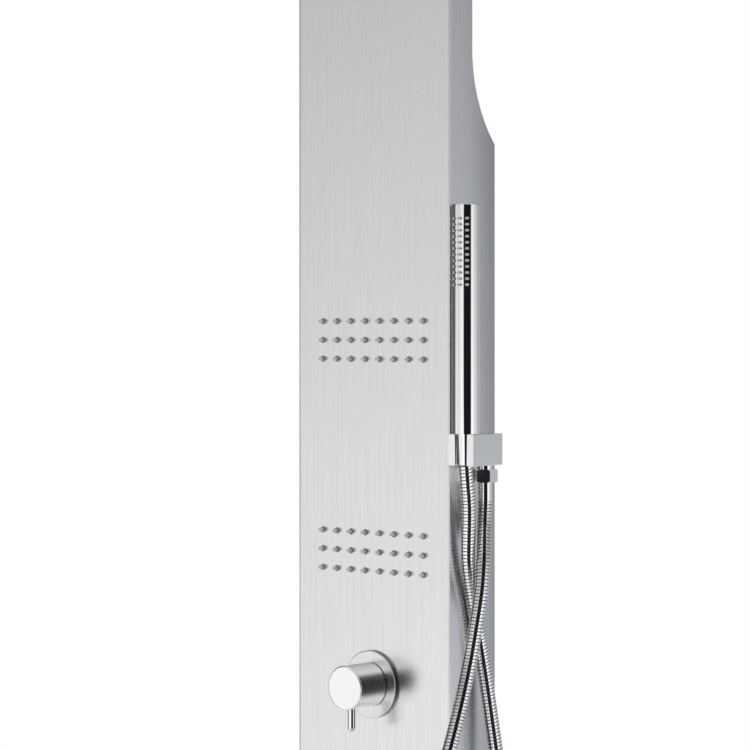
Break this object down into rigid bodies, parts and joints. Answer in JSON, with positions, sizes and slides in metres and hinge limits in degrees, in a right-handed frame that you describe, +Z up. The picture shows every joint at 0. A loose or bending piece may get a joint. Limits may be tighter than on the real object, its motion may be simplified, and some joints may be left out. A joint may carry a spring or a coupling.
{
  "type": "shower panel column",
  "caption": "Wall-hung steel shower column with overhead rain head, body jets, two valve controls and a stick handset on a metal hose.",
  "frame": {"origin": "centre of the four wall screws, on the wall plane", "axes": "+X to the right, -Y out of the wall towards the user, +Z up"},
  "size_m": [0.2444, 0.48, 1.5455],
  "materials": {
    "satin_steel": "satin stainless steel sheet, fine vertical grain",
    "folded_steel": "mill-finish stainless steel, folded",
    "jet_rubber": "grey silicone rubber",
    "black_plastic": "moulded black plastic",
    "zinc_steel": "plated steel screws",
    "cast_brass": "cast brass, machined faces",
    "bright_brass": "turned brass",
    "copper": "drawn copper tube",
    "chrome": "polished chrome plate",
    "gasket_rubber": "black sealing rubber",
    "white_plastic": "natural acetal plastic",
    "nozzle_rubber": "light grey silicone rubber",
    "hose_steel": "polished double-lock steel hose"
  },
  "bodies": {
    "root": {"front_fascia": "satin_steel", "left_cheek": "satin_steel", "right_cheek": "satin_steel", "back_cover": "satin_steel", "bottom_plate": "satin_steel", "wall_bracket_upper": "folded_steel", "wall_bracket_lower": "folded_steel", "hanger_bar_upper": "folded_steel", "hanger_bar_lower": "folded_steel", "jet_mat_upper": "jet_rubber", "jet_mat_lower": "jet_rubber", "jet_manifold_upper": "black_plastic", "jet_manifold_lower": "black_plastic", "jet_manifold_screws": "zinc_steel", "rain_plate": "satin_steel", "rain_mat": "jet_rubber", "rain_chamber": "black_plastic", "rain_chamber_screws": "zinc_steel", "diverter_body": "cast_brass", "diverter_gasket": "gasket_rubber", "diverter_escutcheon": "chrome", "diverter_lock_nut": "bright_brass", "diverter_cartridge": "white_plastic", "mixer_body": "cast_brass", "mixer_gasket": "gasket_rubber", "mixer_escutcheon": "chrome", "mixer_lock_nut": "bright_brass", "mixer_dome": "chrome", "mixer_cartridge": "white_plastic", "feed_tube_main": "copper", "feed_tube_rain": "copper", "feed_tube_upper_jets": "copper", "feed_tube_lower_jets": "copper", "feed_tube_handset": "copper", "compression_nuts": "bright_brass", "outlet_nipple": "bright_brass", "holder_block": "chrome", "outlet_elbow": "cast_brass", "outlet_tail": "chrome", "holder_screws": "zinc_steel", "outlet_nut": "chrome", "outlet_washer": "gasket_rubber", "hose_ferrule": "chrome", "hose": "hose_steel"},
    "swivel": {"swivel_nut": "chrome", "swivel_washer": "gasket_rubber"},
    "handset": {"handset_tube": "chrome", "handset_cap": "chrome", "handset_core": "white_plastic", "handset_nozzles": "nozzle_rubber", "handset_spigot": "chrome"},
    "diverter": {"diverter_spindle": "bright_brass", "diverter_knob": "chrome", "diverter_grub_screw": "zinc_steel"},
    "mixer_turn": {"mixer_carrier": "white_plastic", "mixer_pivot_pin": "zinc_steel"},
    "mixer_lift": {"mixer_stem": "bright_brass", "mixer_lever": "chrome", "mixer_grub_screw": "zinc_steel"}
  },
  "joints": [
    {"name": "handset_lift", "type": "slide", "parent": "root", "child": "swivel", "axis": [0, 0, 1], "range_m": [0, 0.06]},
    {"name": "handset_spin", "type": "hinge", "parent": "swivel", "child": "handset", "pos_m": [0.1155, -0.0644, 0.15], "axis": [0, 0, 1], "continuous": true},
    {"name": "diverter_turn", "type": "hinge", "parent": "root", "child": "diverter", "pos_m": [0, -0.09, -0.1505], "axis": [0, -1, 0], "range_deg": [-90, 180]},
    {"name": "mixer_turn", "type": "hinge", "parent": "root", "child": "mixer_turn", "pos_m": [0, -0.088, -0.2705], "axis": [0, -1, 0], "range_deg": [-50, 50]},
    {"name": "mixer_lift", "type": "hinge", "parent": "mixer_turn", "child": "mixer_lift", "pos_m": [0, -0.088, -0.2705], "axis": [-1, 0, 0], "range_deg": [0, 22]}
  ]
}
